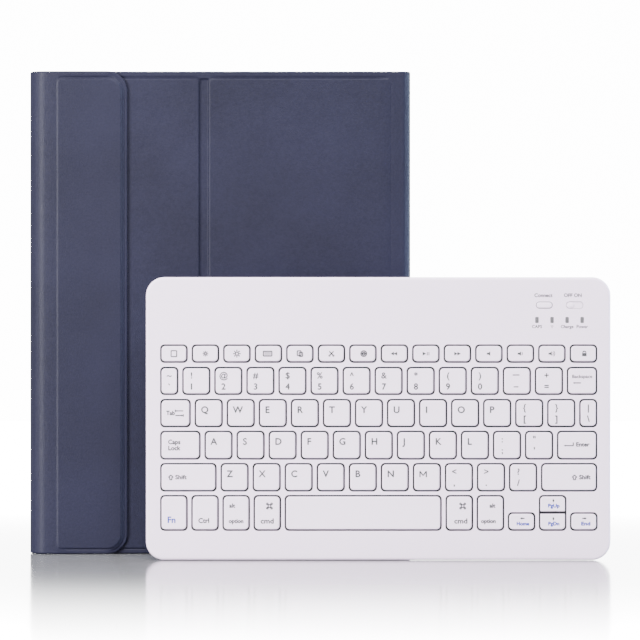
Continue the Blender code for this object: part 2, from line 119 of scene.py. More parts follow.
def rounded_distance(x, z, left, right, bottom, top, radius):
    """Signed distance to a rounded rectangle's outline, negative inside it."""
    dx = abs(x - (left + right) / 2) - (right - left) / 2 + radius
    dz = abs(z - (bottom + top) / 2) - (top - bottom) / 2 + radius
    outside = math.hypot(max(dx, 0.0), max(dz, 0.0))
    return outside + min(max(dx, dz), 0.0) - radius


def ring_points(sides, radius, steps):
    """A rounded rectangle as (x, z) points, anticlockwise from its lower left corner.

    The radius is one number, or a pair for the lower and the upper corners.
    """
    left, right, bottom, top = sides
    lower, upper = radius if isinstance(radius, tuple) else (radius, radius)
    corners = ((left, bottom, 1, 1, 180), (right, bottom, -1, 1, 270),
               (right, top, -1, -1, 0), (left, top, 1, -1, 90))
    points = []
    for x, z, inward_x, inward_z, start in corners:
        radius = max(lower if inward_z > 0 else upper, 0.00002)
        for step in range(steps + 1):
            angle = math.radians(start + 90 * step / steps)
            points.append((x + inward_x * radius + radius * math.cos(angle),
                           z + inward_z * radius + radius * math.sin(angle)))
    return points


def grown(sides, by):
    return sides[0] - by, sides[1] + by, sides[2] - by, sides[3] + by


def square(x, z, half):
    return x - half, x + half, z - half, z + half


def loft(shape, rings, steps=6):
    """Adds a closed solid whose rings are (sides, corner radius, y), from one end to the other."""
    loops = []
    for sides, radius, y in rings:
        points = ring_points(sides, radius, steps)
        loops.append([shape.verts.new((x, y, z)) for x, z in points])
    for one, two in zip(loops, loops[1:]):
        for index in range(len(one)):
            after = (index + 1) % len(one)
            shape.faces.new((one[index], one[after], two[after], two[index]))
    shape.faces.new(loops[0])
    shape.faces.new(list(reversed(loops[-1])))


def lofted(name, rings, material, steps=6, smooth=40):
    shape = bmesh.new()
    loft(shape, rings, steps)
    return new_object(name, shape, material, smooth)


def cut(item, tool, keep_tool_material=False):
    """Applies a Boolean and removes its tool."""
    modifier = item.modifiers.new("cut", "BOOLEAN")
    modifier.operation = "DIFFERENCE"
    if keep_tool_material:
        modifier.material_mode = "TRANSFER"
    modifier.object = tool
    bpy.context.view_layer.update()
    graph = bpy.context.evaluated_depsgraph_get()
    made = bpy.data.meshes.new_from_object(item.evaluated_get(graph))
    item.modifiers.clear()
    item.data = made
    bpy.data.objects.remove(tool)
    return item


def attach(item, body, slot, *nodes):
    """Rides a piece on its body, in place of the CAD nodes that it stands for."""
    if nodes:
        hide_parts(*nodes)
    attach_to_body(item, body)


# ---- materials


class Paint:
    """A Principled material and a few ways of adding procedural detail to it."""

    def __init__(self, name, colour, roughness, **sockets):
        self.material = bpy.data.materials.new(name)
        self.material.use_nodes = True
        self.tree = self.material.node_tree
        self.shader = self.tree.nodes["Principled BSDF"]
        self.colour = colour
        self.shader.inputs["Base Color"].default_value = (*colour, 1)
        self.shader.inputs["Roughness"].default_value = roughness
        for key, value in sockets.items():
            self.shader.inputs[key.replace("_", " ")].default_value = value
        self.place = self.tree.nodes.new("ShaderNodeTexCoord").outputs["Object"]
        self.height = None

    def node(self, kind, **settings):
        made = self.tree.nodes.new(kind)
        for key, value in settings.items():
            setattr(made, key, value)
        return made

    def link(self, start, end):
        self.tree.links.new(start, end)

    def stretched(self, scale):
        mapping = self.node("ShaderNodeMapping")
        mapping.inputs["Scale"].default_value = scale
        self.link(self.place, mapping.inputs["Vector"])
        return mapping.outputs["Vector"]

    def noise(self, scale, detail=2.0, stretch=None):
        made = self.node("ShaderNodeTexNoise")
        made.inputs["Scale"].default_value = scale
        made.inputs["Detail"].default_value = detail
        self.link(self.stretched(stretch) if stretch else self.place, made.inputs["Vector"])
        return made.outputs["Fac"]

    def cells(self, scale, feature="DISTANCE_TO_EDGE"):
        made = self.node("ShaderNodeTexVoronoi", feature=feature)
        made.inputs["Scale"].default_value = scale
        self.link(self.place, made.inputs["Vector"])
        return made.outputs["Distance"]

    def spread(self, value, low, high, start=0.0, end=1.0):
        made = self.node("ShaderNodeMapRange")
        made.inputs["From Min"].default_value = start
        made.inputs["From Max"].default_value = end
        made.inputs["To Min"].default_value = low
        made.inputs["To Max"].default_value = high
        self.link(value, made.inputs["Value"])
        return made.outputs["Result"]

    def tint(self, value, dark, light):
        """Varies the colour between two shares of itself."""
        ramp = self.node("ShaderNodeMix", data_type="RGBA")
        ramp.inputs["A"].default_value = (*[c * dark for c in self.colour], 1)
        ramp.inputs["B"].default_value = (*[min(1, c * light) for c in self.colour], 1)
        self.link(value, ramp.inputs["Factor"])
        self.link(ramp.outputs["Result"], self.shader.inputs["Base Color"])
        return self

    def rough(self, value, low, high):
        self.link(self.spread(value, low, high), self.shader.inputs["Roughness"])
        return self

    def bump(self, value, distance, strength=1.0):
        made = self.node("ShaderNodeBump")
        made.inputs["Distance"].default_value = distance
        made.inputs["Strength"].default_value = strength
        self.link(value, made.inputs["Height"])
        if self.height is not None:
            self.link(self.height, made.inputs["Normal"])
        self.height = made.outputs["Normal"]
        self.link(self.height, self.shader.inputs["Normal"])
        return self


def make_leather():
    paint = Paint("navy_grain_leather", (0.0104, 0.0104, 0.0235), 0.42, Specular_IOR_Level=0.14)
    cloud = paint.noise(16, 3)
    fine = paint.noise(900, 3)
    speckled = paint.node("ShaderNodeMath", operation="MULTIPLY_ADD")
    paint.link(fine, speckled.inputs[0])
    speckled.inputs[1].default_value = 0.75
    paint.link(paint.spread(cloud, -0.1, 0.35, 0.3, 0.7), speckled.inputs[2])
    paint.tint(speckled.outputs[0], 0.66, 1.40)
    paint.rough(fine, 0.34, 0.50)
    grain = paint.spread(paint.cells(1150), 0.0, 1.0, 0.0, 0.35)
    paint.bump(grain, 0.00007, 0.8)
    paint.bump(fine, 0.00005, 0.6)
    paint.bump(paint.noise(60, 2), 0.0003, 0.25)
    return paint.material


def make_lining():
    paint = Paint("microfibre_lining", (0.034, 0.037, 0.070), 0.9, Sheen_Weight=0.35)
    nap = paint.noise(2600, 2, (1, 1, 0.4))
    paint.tint(nap, 0.7, 1.35)
    paint.bump(nap, 0.0001, 0.7)
    paint.bump(paint.noise(140, 2), 0.0002, 0.3)
    return paint.material


def make_plastic(name, colour, roughness, grain=2400, depth=0.00001, **sockets):
    paint = Paint(name, colour, roughness, **sockets)
    paint.tint(paint.noise(30, 2), 0.985, 1.015)
    fine = paint.noise(grain, 2)
    paint.rough(fine, roughness - 0.05, roughness + 0.05)
    paint.bump(fine, depth, 0.5)
    return paint.material


def make_steel():
    paint = Paint("brushed_steel", (0.55, 0.56, 0.58), 0.35, Metallic=1.0)
    lines = paint.noise(600, 2, (1, 1, 0.03))
    paint.tint(lines, 0.85, 1.1)
    paint.rough(lines, 0.28, 0.46)
    paint.bump(lines, 0.00001, 0.5)
    return paint.material


def make_circuit():
    paint = Paint("lacquered_board", (0.015, 0.10, 0.045), 0.35)
    tracks = paint.cells(420, "F1")
    paint.tint(paint.spread(tracks, 0, 1, 0.1, 0.6), 0.6, 1.9)
    paint.bump(tracks, 0.00005, 0.4)
    return paint.material


LEATHER = make_leather()
LINING = make_lining()
DECK = make_plastic("deck_satin_plastic", (0.885, 0.735, 0.930), 0.42)
CAPS = make_plastic("key_matt_plastic", (0.895, 0.760, 0.935), 0.5)
# Painted shade: a near-black colour for the walls and chamfers of the deck's holes, where the white plastic
# would only lie in shade in the narrow gaps.
GAP_SHADE = make_plastic("painted_gap_shade", (0.045, 0.043, 0.048), 0.7)
TRAY = make_plastic("tray_moulded_plastic", (0.020, 0.021, 0.026), 0.48, 1800, 0.00003)
RUBBER = make_plastic("foot_rubber", (0.022, 0.022, 0.024), 0.85, 1500, 0.00004)
LIGHT = make_plastic("smoked_window", (0.105, 0.102, 0.11), 0.22)
MEMBRANE = make_plastic("membrane_film", (0.05, 0.05, 0.055), 0.55)
BATTERY = make_plastic("battery_wrap", (0.56, 0.56, 0.58), 0.3, 500, 0.00005)
STEEL = make_steel()
CIRCUIT = make_circuit()
INK = make_plastic("grey_ink", (0.040, 0.040, 0.045), 0.6)
BLUE_INK = make_plastic("blue_ink", (0.018, 0.035, 0.33), 0.6)


# ---- the leather folio

SHEET = 2.15 * MM
SKIN = 1.5 * MM
EDGE_ROUND = 0.75 * MM
FREE_CORNER = 10.5 * MM

BORDER = 3.3 * MM
BORDER_LOW = 2.3 * MM
PROUD = 0.28 * MM
GROOVE = 0.46 * MM
GROOVE_WIDTH = 0.55 * MM

CREASE_LEFT = (OUTER_HIGH.x + INNER_LOW.x) / 2 - 2.35 * MM
CREASE_RIGHT = CREASE_LEFT + 4.5 * MM
CREASE_DEPTH = 0.80 * MM

FLAP_FRAME_LEFT = 14.3 * MM
FLAP_BORDER = 2.7 * MM
FLAP_EDGE_DROP = 1.1 * MM

# How far the flat side of a roll sinks, over what length, and where in the roll it starts.
EASE_DEPTH = 0.72 * MM
EASE_LENGTH = 14.0 * MM
EASE_START = 0.35

# The sheets' points lie this far apart, and close together within reach of each line.
COARSE = 4.0 * MM
COARSE_UP = 5.0 * MM
FINE = 0.22 * MM
REACH = 1.8 * MM
ROLL_STEPS = 14

CAMERA_HOLE = 8.5 * MM
CAMERA_X = TRAY_LOW.x + 13.1 * MM
CAMERA_Z = TRAY_HIGH.z - 13.1 * MM


def folio_path():
    """The folio's outside as (length, radius) runs, anticlockwise from the panel's free edge."""
    spine_flat = BACK_Y - PANEL_Y - 2 * SPINE_ROLL
    edge_flat = BACK_Y - FACE_Y - 2 * FLAP_ROLL
    return (
        (FOLIO_RIGHT - SPINE_ROLL - OUTER_LOW.x, None),
        (SPINE_ROLL * math.pi / 2, SPINE_ROLL),
        (spine_flat, None),
        (SPINE_ROLL * math.pi / 2, SPINE_ROLL),
        (FOLIO_RIGHT - SPINE_ROLL - FOLIO_LEFT - FLAP_ROLL, None),
        (FLAP_ROLL * math.pi / 2, FLAP_ROLL),
        (edge_flat, None),
        (FLAP_ROLL * math.pi / 2, FLAP_ROLL),
        (FLAP_HIGH.x - FOLIO_LEFT - FLAP_ROLL, None),
    )


RUNS = folio_path()
STARTS = [sum(run[0] for run in RUNS[:index]) for index in range(len(RUNS) + 1)]
COVER_FIRST = STARTS[4] + (FOLIO_RIGHT - SPINE_ROLL - INNER_HIGH.x)
COVER_LAST = STARTS[5] - 6 * MM
FLAP_FIRST = STARTS[8] + FLAP_FRAME_LEFT - FLAP_ROLL
FLAP_LAST = STARTS[9] - FLAP_BORDER


def on_path(s):
    """(x, y) on the folio's outside and the outward normal there, s along from the free edge."""
    place = Vector((OUTER_LOW.x, PANEL_Y))
    heading = 0.0
    left = s
    for length, radius in RUNS:
        step = min(left, length)
        forward = Vector((math.cos(heading), math.sin(heading)))
        side = Vector((-forward.y, forward.x))
        if radius is None:
            place = place + forward * step
        else:
            turn = step / radius
            place = place + side * radius * (1 - math.cos(turn)) + forward * radius * math.sin(turn)
            heading += turn
        left -= length
        if left <= 0:
            break
    return place, Vector((math.sin(heading), -math.cos(heading)))


def samples(low, high, marks, coarse):
    """Places from low to high, close together near each mark and further apart elsewhere."""
    places = [low]
    while places[-1] < high - 1e-9:
        here = places[-1]
        away = min((abs(here - mark) for mark in marks), default=1.0)
        ahead = min((mark - here for mark in marks if mark > here), default=1.0)
        step = FINE if away < REACH else min(coarse, max(FINE, ahead - REACH))
        places.append(min(high, here + step))
    return places


ROUND_PLACES = [EDGE_ROUND * (1 - math.cos(math.radians(a))) for a in (0, 22, 45, 68, 90)]


def sheet_columns(start, end, marks, radius, free):
    """Places along the path for a sheet's points, with more at free ends and in rolls."""
    along = samples(start, end, marks, COARSE)
    for index, place in enumerate((start, end)):
        if free[index]:
            sign = 1 if index == 0 else -1
            along += [place + sign * d for d in ROUND_PLACES]
            arc = [radius[index] * (1 - math.sin(math.radians(a))) for a in range(0, 90, 6)]
            along += [place + sign * d for d in arc]
    for first, run in zip(STARTS, RUNS):
        if run[1] is not None:
            along += [first + run[0] * n / ROLL_STEPS for n in range(ROLL_STEPS + 1)]
    return sorted({round(s, 6) for s in along if start - 1e-9 <= s <= end + 1e-9})


def sheet_rows(radius):
    """Heights for a sheet's points, with more at its edges, its borders and its round corners."""
    up = samples(0.0, HEIGHT, (BORDER_LOW, HEIGHT - BORDER), COARSE_UP)
    for base, inward in ((BORDER_LOW, 1), (HEIGHT - BORDER, -1)):
        up += [base + inward * 8.0 * MM * n / 12 for n in range(13)]
    up += ROUND_PLACES + [HEIGHT - d for d in ROUND_PLACES]
    for value in radius:
        arc = [value * (1 - math.cos(math.radians(a))) for a in range(0, 91, 6)]
        up += arc + [HEIGHT - d for d in arc]
    return sorted({round(z, 6) for z in up})


def squeezed(s, z, ends, radius):
    """Moves a column inwards where a round corner cuts the row short."""
    for edge, size, inward in zip(ends, radius, (1, -1)):
        from_edge = (s - edge) * inward
        lift = min(z, HEIGHT - z)
        if size and from_edge < size and lift < size:
            chord = math.sqrt(max(0.0, size * size - (size - lift) ** 2))
            s = edge + inward * (size - (size - from_edge) * chord / size)
    return s


def edge_drop(s, z, ends, radius, free):
    """How far the sheet's face falls away close to a free edge, which is round."""
    left = ends[0] if free[0] else ends[0] - 1.0
    right = ends[1] if free[1] else ends[1] + 1.0
    size = radius[0] if free[0] and s < sum(ends) / 2 else radius[1]
    inside = max(0.0, -rounded_distance(s, z, left, right, 0.0, HEIGHT, size))
    if inside >= EDGE_ROUND:
        return 0.0
    return EDGE_ROUND - math.sqrt(EDGE_ROUND ** 2 - (EDGE_ROUND - inside) ** 2)


def sheet_faces(shape, outside, inside):
    """Closes a solid between two grids of points."""
    rows, columns = len(outside), len(outside[0])
    for j in range(rows - 1):
        for i in range(columns - 1):
            for grid, (a, b) in ((outside, (i, i + 1)), (inside, (i + 1, i))):
                shape.faces.new((grid[j][a], grid[j][b], grid[j + 1][b], grid[j + 1][a]))
    rim = [(0, i) for i in range(columns)]
    rim += [(j, columns - 1) for j in range(1, rows)]
    rim += [(rows - 1, i) for i in range(columns - 2, -1, -1)]
    rim += [(j, 0) for j in range(rows - 2, 0, -1)]
    for (j, i), (l, k) in zip(rim, rim[1:] + rim[:1]):
        shape.faces.new((outside[j][i], outside[l][k], inside[l][k], inside[j][i]))


def leather_piece(name, ends, depth, thickness, marks, radius=(0.0, 0.0), free=(False, False)):
    """A leather sheet along the folio's path between two ends, with the relief in depth.

    radius and free say how each end is cut: a free end has round corners and a round edge.
    """
    shape = bmesh.new()
    outside, inside = [], []
    columns = sheet_columns(*ends, marks, radius, free)
    for z in sheet_rows(radius):
        outer_row, inner_row = [], []
        for column in columns:
            s = squeezed(column, z, ends, radius)
            point, normal = on_path(s)
            drop = edge_drop(s, z, ends, radius, free)
            out = point - normal * (depth(s, z) + drop)
            back = point - normal * (thickness(s) - drop)
            outer_row.append(shape.verts.new((out.x, out.y, z)))
            inner_row.append(shape.verts.new((back.x, back.y, z)))
        outside.append(outer_row)
        inside.append(inner_row)
    sheet_faces(shape, outside, inside)
    bmesh.ops.remove_doubles(shape, verts=shape.verts, dist=2e-6)
    bmesh.ops.dissolve_degenerate(shape, edges=shape.edges, dist=1e-7)
    return new_object(name, shape, LEATHER, 50)


def raised(distance, from_left, from_right=1.0, z=1.0):
    """The depth across a raised area's outline: proud inside it, with a pressed groove round it.

    The groove fades out along the left edge, where the leather only steps up, and it is
    faint along an edge that from_right is measured from. Low down, the border stays pressed.
    """
    proud = -PROUD * (1 - smoothstep(-0.9 * MM, 0.1 * MM, distance))
    pressed = math.exp(-(distance / GROOVE_WIDTH) ** 2)
    if distance > 0:
        pressed = max(pressed, 0.75 * (1 - smoothstep(BORDER_LOW, BORDER_LOW + 2.0 * MM, z)))
    groove = smoothstep(0.8 * MM, 3.2 * MM, from_left)
    groove *= 0.12 + 0.88 * smoothstep(0.8 * MM, 3.2 * MM, from_right)
    proud *= 0.35 + 0.65 * smoothstep(0.8 * MM, 3.2 * MM, from_right)
    return proud + groove * GROOVE * pressed


def eased(s, roll_start, roll_end):
    """An extra depth that starts in a roll and fades along its flat side, for a soft bend."""
    peak = roll_end - EASE_START * (roll_end - roll_start)
    towards = 1 if roll_end > roll_start else -1
    past = (s - peak) * towards
    if past < 0:
        return EASE_DEPTH * smoothstep(0.0, abs(peak - roll_start), abs(peak - roll_start) + past)
    return EASE_DEPTH * max(0.0, 1 - past / EASE_LENGTH) ** 2


def panel_depth(s, z):
    """The back panel: two raised areas, the stand crease between them, and the band by the spine."""
    x = OUTER_LOW.x + s
    low, high = BORDER_LOW, HEIGHT - BORDER
    outer = rounded_distance(x, z, OUTER_LOW.x + BORDER, CREASE_LEFT, low, high, 3.0 * MM)
    inner = rounded_distance(x, z, CREASE_RIGHT, INNER_HIGH.x, low, high, 3.0 * MM)
    channel = smoothstep(CREASE_LEFT - 0.6 * MM, CREASE_LEFT + 0.8 * MM, x)
    channel *= 1 - smoothstep(CREASE_RIGHT - 0.45 * MM, CREASE_RIGHT + 0.35 * MM, x)
    within = 1 - smoothstep(-1.2 * MM, 0.0, rounded_distance(x, z, -1.0, 1.0, low, high, 0.0))
    from_left = x - (OUTER_LOW.x + BORDER if outer < inner else CREASE_RIGHT)
    inside = raised(min(outer, inner), from_left, INNER_HIGH.x - x, z)
    flat = inside + (CREASE_DEPTH - inside) * channel * within
    return flat + eased(s, STARTS[2], STARTS[1])


def cover_depth(s, z):
    """The front cover: one raised area over the whole board."""
    distance = rounded_distance(s, z, COVER_FIRST, COVER_LAST, BORDER_LOW, HEIGHT - BORDER, 4 * MM)
    return raised(distance, 1.0)


def flap_depth(s, z):
    """The flap: a raised frame inside a border, with wider corners at its free edge."""
    corner = 8.0 * MM if s > (FLAP_FIRST + FLAP_LAST) / 2 else 3.0 * MM
    distance = rounded_distance(s, z, FLAP_FIRST, FLAP_LAST, BORDER_LOW, HEIGHT - BORDER, corner)
    thin = FLAP_EDGE_DROP * smoothstep(0.0, 1.2 * MM, distance)
    thin *= smoothstep(FLAP_LAST - 9 * MM, FLAP_LAST - MM, s)
    return raised(distance, s - FLAP_FIRST, z=z) + thin + eased(s, STARTS[7], STARTS[8])


def thinning(low, high, first, last):
    """A sheet's thickness, which goes from first to last between two places on the path."""
    return lambda s: first + (last - first) * smoothstep(low, high, s)


def make_folio():
    spine_middle = (STARTS[2] + STARTS[3]) / 2
    edge_middle = (STARTS[6] + STARTS[7]) / 2
    crease = [x - OUTER_LOW.x for x in (CREASE_LEFT, CREASE_RIGHT, INNER_HIGH.x)] + [BORDER]
    thin = thinning(STARTS[1] - 6 * MM, STARTS[1] - 2 * MM, SHEET, SKIN)
    panel = leather_piece("back_panel_leather", (0.0, spine_middle), panel_depth, thin, crease,
                          (FREE_CORNER, 0.0), (True, False))
    camera = camera_ring(panel)
    thin = thinning(STARTS[4] + 3 * MM, STARTS[4] + 5 * MM, SKIN, SHEET)
    spine = leather_piece("spine_leather", (spine_middle, COVER_FIRST), cover_depth, thin,
                          [COVER_FIRST])
    thin = thinning(STARTS[5] - 3 * MM, STARTS[5], SHEET, SKIN)
    cover = leather_piece("front_cover_leather", (COVER_FIRST, edge_middle), cover_depth, thin,
                          [COVER_FIRST, COVER_LAST])
    thin = thinning(STARTS[8], STARTS[8] + 3 * MM, SKIN, SHEET)
    flap = leather_piece("closure_flap_leather", (edge_middle, STARTS[9]), flap_depth, thin,
                         [FLAP_FIRST, FLAP_LAST], (0.0, FREE_CORNER), (False, True))
    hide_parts("back_panel_outer_board", "back_panel_inner_board", "stand_crease",
                "spine_crease_rear")
    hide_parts("spine_board", "spine_crease_front")
    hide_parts("front_cover_board", "flap_edge_strip")
    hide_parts("flap_board")
    fold_pairs = (
        (panel, "folio_back", "spine", STARTS[1], STARTS[2]),
        (spine, "spine", "front_cover", STARTS[3], STARTS[4]),
        (cover, "front_cover", "flap_edge", STARTS[5], STARTS[6]),
        (flap, "flap_edge", "closure_flap", STARTS[7], STARTS[8]),
    )
    for piece, one, two, first, last in fold_pairs:
        begin, finish = on_path(first)[0], on_path(last)[0]
        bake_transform(piece)
    attach(camera, "folio_back", "tray_plastic")


def camera_ring(panel):
    """Cuts the camera hole under the flap and lines its edge."""
    sides = square(CAMERA_X, CAMERA_Z, CAMERA_HOLE)
    round_hole = (sides, CAMERA_HOLE, PANEL_Y - 2 * MM), (sides, CAMERA_HOLE, PANEL_Y + 5 * MM)
    cut(panel, lofted("camera_tool", round_hole, None, 12))
    shape = bmesh.new()
    rings = []
    turns = 48
    outline = ((8.45, 0.25), (8.1, 0.05), (7.6, 0.25), (7.6, 2.0), (8.45, 2.0))
    for turn in range(turns):
        angle = 2 * math.pi * turn / turns
        rings.append([shape.verts.new((CAMERA_X + r * MM * math.cos(angle), PANEL_Y + y * MM,
                                       CAMERA_Z + r * MM * math.sin(angle))) for r, y in outline])
    for one, two in zip(rings, rings[1:] + rings[:1]):
        for index in range(len(outline)):
            after = (index + 1) % len(outline)
            shape.faces.new((one[index], one[after], two[after], two[index]))
    return new_object("camera_hole_ring", shape, TRAY, 40)


# ---- the keyboard

DECK_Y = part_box("light_guide")[0].y
KEY_FRONT_Y, KEY_BACK_Y = (corner.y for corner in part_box("key_space"))
KEY_CLEARANCE = 0.55 * MM
CAP_SHRINK = 0.12 * MM
CAP_RADIUS = 1.75 * MM
SQUARE_RADIUS = 0.3 * MM
HOLE_RADIUS = CAP_RADIUS + 0.4 * MM
DECK_RADIUS = 9.3 * MM
DECK_FRONT_ROUND = 1.5 * MM
DECK_BACK_ROUND = 0.8 * MM
DECK_WALL = 1.3 * MM
DECK_SEAM = 112.6 * MM
SLOT_RADIUS = 1.6 * MM
SLOT_LENGTH = 8.4 * MM
SLOT_DEPTH = 0.5 * MM


def sides_of(node):
    low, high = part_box(node)
    return low.x, high.x, low.z, high.z


def key_places():
    """Each key body's caps, as (left, right, bottom, top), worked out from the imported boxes."""
    lower = sides_of("lower_letter_row")
    middle = sides_of("middle_letter_row")
    pitch = (middle[1] - middle[0]) - (lower[1] - lower[0])
    width = (lower[1] - lower[0]) - 9 * pitch
    small = sides_of("key_fn")[1] - sides_of("key_fn")[0]

    def row(start, count, step=pitch, size=width):
        return [(start + n * step, start + n * step + size) for n in range(count)]

    places = {}
    for node in KEY_BODIES:
        left, right, bottom, top = sides_of(node)
        if node == "function_key_row":
            caps = row(left, 14, (right - left - small) / 13, small)
        elif node == "number_key_row":
            caps = [(left, right - 12 * pitch)] + row(right - width - 11 * pitch, 12)
        elif node == "upper_letter_row":
            caps = row(left, 12) + [(left + 12 * pitch, right)]
        elif node.endswith("_row"):
            caps = row(left, round((right - left - width) / pitch) + 1)
        else:
            caps = [(left, right)]
        places[node] = [(a, b, bottom, top) for a, b in caps]
    return places


BODIES = frame["record"]["behaviour"]["bodies"]
KEY_BODIES = {
    node: next(body for body, members in BODIES.items() if node in members)
    for node in sorted(frame["nodes"])
    if node.startswith("key_") and node != "key_support_plate" or node.endswith("_row")
}
KEYS = key_places()


def cap_rings(sides, corners):
    """A cap from its top's middle to its underside: a faint dish, a soft edge and straight sides.

    corners are the radii of the lower and the upper corners.
    """
    small = min(sides[1] - sides[0], sides[3] - sides[2])
    plan = [(0.36 * small, 0.10), (0.24 * small, 0.07), (0.13 * small, 0.03), (0.75 * MM, 0.0),
            (0.45 * MM, 0.015), (0.22 * MM, 0.075), (0.07 * MM, 0.20), (0.0, 0.42)]
    rings = []
    for inset, drop in plan:
        radii = tuple(max(corner - inset, 0.2 * MM) for corner in corners)
        rings.append((grown(sides, -inset), radii, KEY_FRONT_Y + drop * MM))
    rings.append((sides, corners, KEY_BACK_Y))
    return rings


def make_caps():
    """Key caps, one piece for each body. The up and down arrow keys meet in square corners."""
    for node, places in KEYS.items():
        lower = SQUARE_RADIUS if node == "key_arrow_up" else CAP_RADIUS
        upper = SQUARE_RADIUS if node == "key_arrow_down" else CAP_RADIUS
        shape = bmesh.new()
        for sides in places:
            loft(shape, cap_rings(grown(sides, -CAP_SHRINK), (lower, upper)))
        name = node.replace("_row", "_caps") if "_row" in node else node + "_cap"
        attach(new_object(name, shape, CAPS, 35), KEY_BODIES[node], "key_plastic", node)


def shell_rings(whole):
    """The deck's outside, from its face to its back, with round edges at both."""
    rings = []
    edges = ((DECK_FRONT_ROUND, range(0, 91, 15), DECK_Y, 1),
             (DECK_BACK_ROUND, range(90, -1, -30), DECK_HIGH.y, -1))
    for size, angles, face, inward in edges:
        for angle in angles:
            turn = math.radians(angle)
            inset = size * (1 - math.sin(turn))
            depth = size * (1 - math.cos(turn))
            rings.append((grown(whole, -inset), DECK_RADIUS - inset, face + inward * depth))
    return rings


def straight(sides, radius, front, back):
    """Two rings for a solid with straight sides."""
    return (sides, radius, front), (sides, radius, back)


def hole_shape(shape, sides, radius, steps=6):
    """A straight hole with a fine chamfer at the deck's face."""
    chamfer = 0.10 * MM
    loft(shape, ((grown(sides, chamfer + MM), radius + chamfer + MM, DECK_Y - MM),
                 *straight(sides, radius, DECK_Y + chamfer, DECK_Y + 3 * MM)), steps)


def dark_holes():
    """Holes for the keys, the light windows and the two controls, whose walls and chamfers are painted
    near-black as painted shade in the gaps.
    """
    shape = bmesh.new()
    for node, places in KEYS.items():
        for sides in places:
            if node == "key_arrow_up":
                continue
            if node == "key_arrow_down":
                sides = (*sides[:3], KEYS["key_arrow_up"][0][3])
            hole_shape(shape, grown(sides, KEY_CLEARANCE + CAP_SHRINK), HOLE_RADIUS)
    for sides in light_windows():
        hole_shape(shape, grown(sides, 0.06 * MM), 0.4 * MM, 4)
    for sides in (button_sides(), switch_sides()):
        hole_shape(shape, sides, SLOT_RADIUS, 8)
    return new_object("deck_holes", shape, GAP_SHADE, 0)


def make_deck():
    whole = (DECK_LOW.x, DECK_HIGH.x, 0.0, DECK_HIGH.z)
    deck = lofted("keyboard_deck", shell_rings(whole), DECK, 14, 30)
    hollow = straight(grown(whole, -DECK_WALL), DECK_RADIUS - DECK_WALL, DECK_Y + MM, DECK_HIGH.y + MM)
    cut(deck, lofted("deck_hollow", hollow, None, 14))
    # The hole tools pass their painted shade colour to the hole walls and chamfers.
    cut(deck, dark_holes(), True)
    seam = (whole[0] - MM, whole[1] + MM, DECK_SEAM - 0.15 * MM, DECK_SEAM + 0.15 * MM)
    groove = straight(seam, 0.1 * MM, DECK_Y - MM, DECK_Y + 0.05 * MM)
    cut(deck, lofted("deck_seam", groove, None, 2, 0))
    low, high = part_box("charging_socket")
    gap = 0.1 * MM
    port = (low.x - gap, high.x + gap, DECK_HIGH.z - 4 * MM, DECK_HIGH.z + MM)
    cut(deck, lofted("port_tool", straight(port, gap, low.y - gap, high.y + gap), None, 2))
    smooth_shaded(deck.data, 30)
    attach(deck, "keyboard", "deck_plastic", "keyboard_top_cover")


def light_windows():
    low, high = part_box("light_guide")
    width = 1.5 * MM
    left = low.x + MM
    pitch = (high.x - low.x - 2 * MM - width) / 3
    return [(left + n * pitch, left + n * pitch + width, low.z + 0.6 * MM, high.z - 0.6 * MM)
            for n in range(4)]


def button_sides():
    return grown(sides_of("connect_button"), 0.22 * MM)


def switch_sides():
    left, _, bottom, top = grown(sides_of("power_switch"), 0.3 * MM)
    return left, left + SLOT_LENGTH, bottom - 0.1 * MM, top + 0.1 * MM


def stacked(sides, plan):
    """Rings from a plan of (inset, corner radius, depth behind the deck's face), in mm."""
    return [(grown(sides, -inset * MM), radius * MM, DECK_Y + depth * MM) for inset, radius, depth in plan]


def make_button():
    plan = ((0.9, 0.55, -0.22), (0.35, 1.1, -0.20), (0.1, 1.35, -0.10), (0, 1.42, 0.08), (0, 1.42, 2.2))
    button = lofted("connect_button_cap", stacked(sides_of("connect_button"), plan), CAPS, 8)
    attach(button, "button", "key_plastic", "connect_button")


def make_switch():
    """A ribbed knob in a shallow slot."""
    sides = sides_of("power_switch")
    shape = bmesh.new()
    loft(shape, stacked(sides, ((0.25, 1.0, 0.05), (0, 1.25, 0.2), (0, 1.25, 2.2))), 8)
    middle = (sides[0] + sides[1]) / 2
    for offset in (-0.7, 0.0, 0.7):
        x = middle + offset * MM
        rib = (x - 0.14 * MM, x + 0.14 * MM, sides[2] + 0.5 * MM, sides[3] - 0.5 * MM)
        loft(shape, stacked(rib, ((0.05, 0.05, -0.08), (0, 0.1, 0.1))), 2)
    attach(new_object("power_switch_knob", shape, CAPS, 40), "switch", "key_plastic", "power_switch")
    slot = straight(grown(switch_sides(), -0.05 * MM), 1.5 * MM, DECK_Y + SLOT_DEPTH,
                    DECK_Y + SLOT_DEPTH + 0.3 * MM)
    attach(lofted("switch_slot_floor", slot, DECK, 8), "keyboard", "deck_plastic")


def make_lights():
    """The light windows, and the white dot beside the switch."""
    shape = bmesh.new()
    for sides in light_windows():
        loft(shape, stacked(sides, ((0.25, 0.15, -0.02), (0, 0.35, 0.12), (0, 0.35, 1.6))), 4)
    attach(new_object("light_windows", shape, LIGHT, 40), "keyboard", "light_guide")
    _, right, bottom, top = switch_sides()
    sides = square(right + 1.6 * MM, (bottom + top) / 2, 0.55 * MM)
    plan = ((0.3, 0.2, -0.08), (0.1, 0.44, -0.05), (0, 0.54, 0.2))
    attach(lofted("charge_dot", stacked(sides, plan), CAPS, 8), "keyboard", "deck_plastic")


# ---- printed legends

INK_LIFT = 0.03 * MM
LAYER = 0.004 * MM

# These sizes are in millimetres, like every mark that a Print draws.
THIN = 0.54
LETTER = 4.7
DIGIT = 4.4
WORD = 2.9
NARROW_KEY = 11
SIGN_LEFT = 4.0
UPPER_SIGN = -3.8
LOWER_SIGN = -9.4


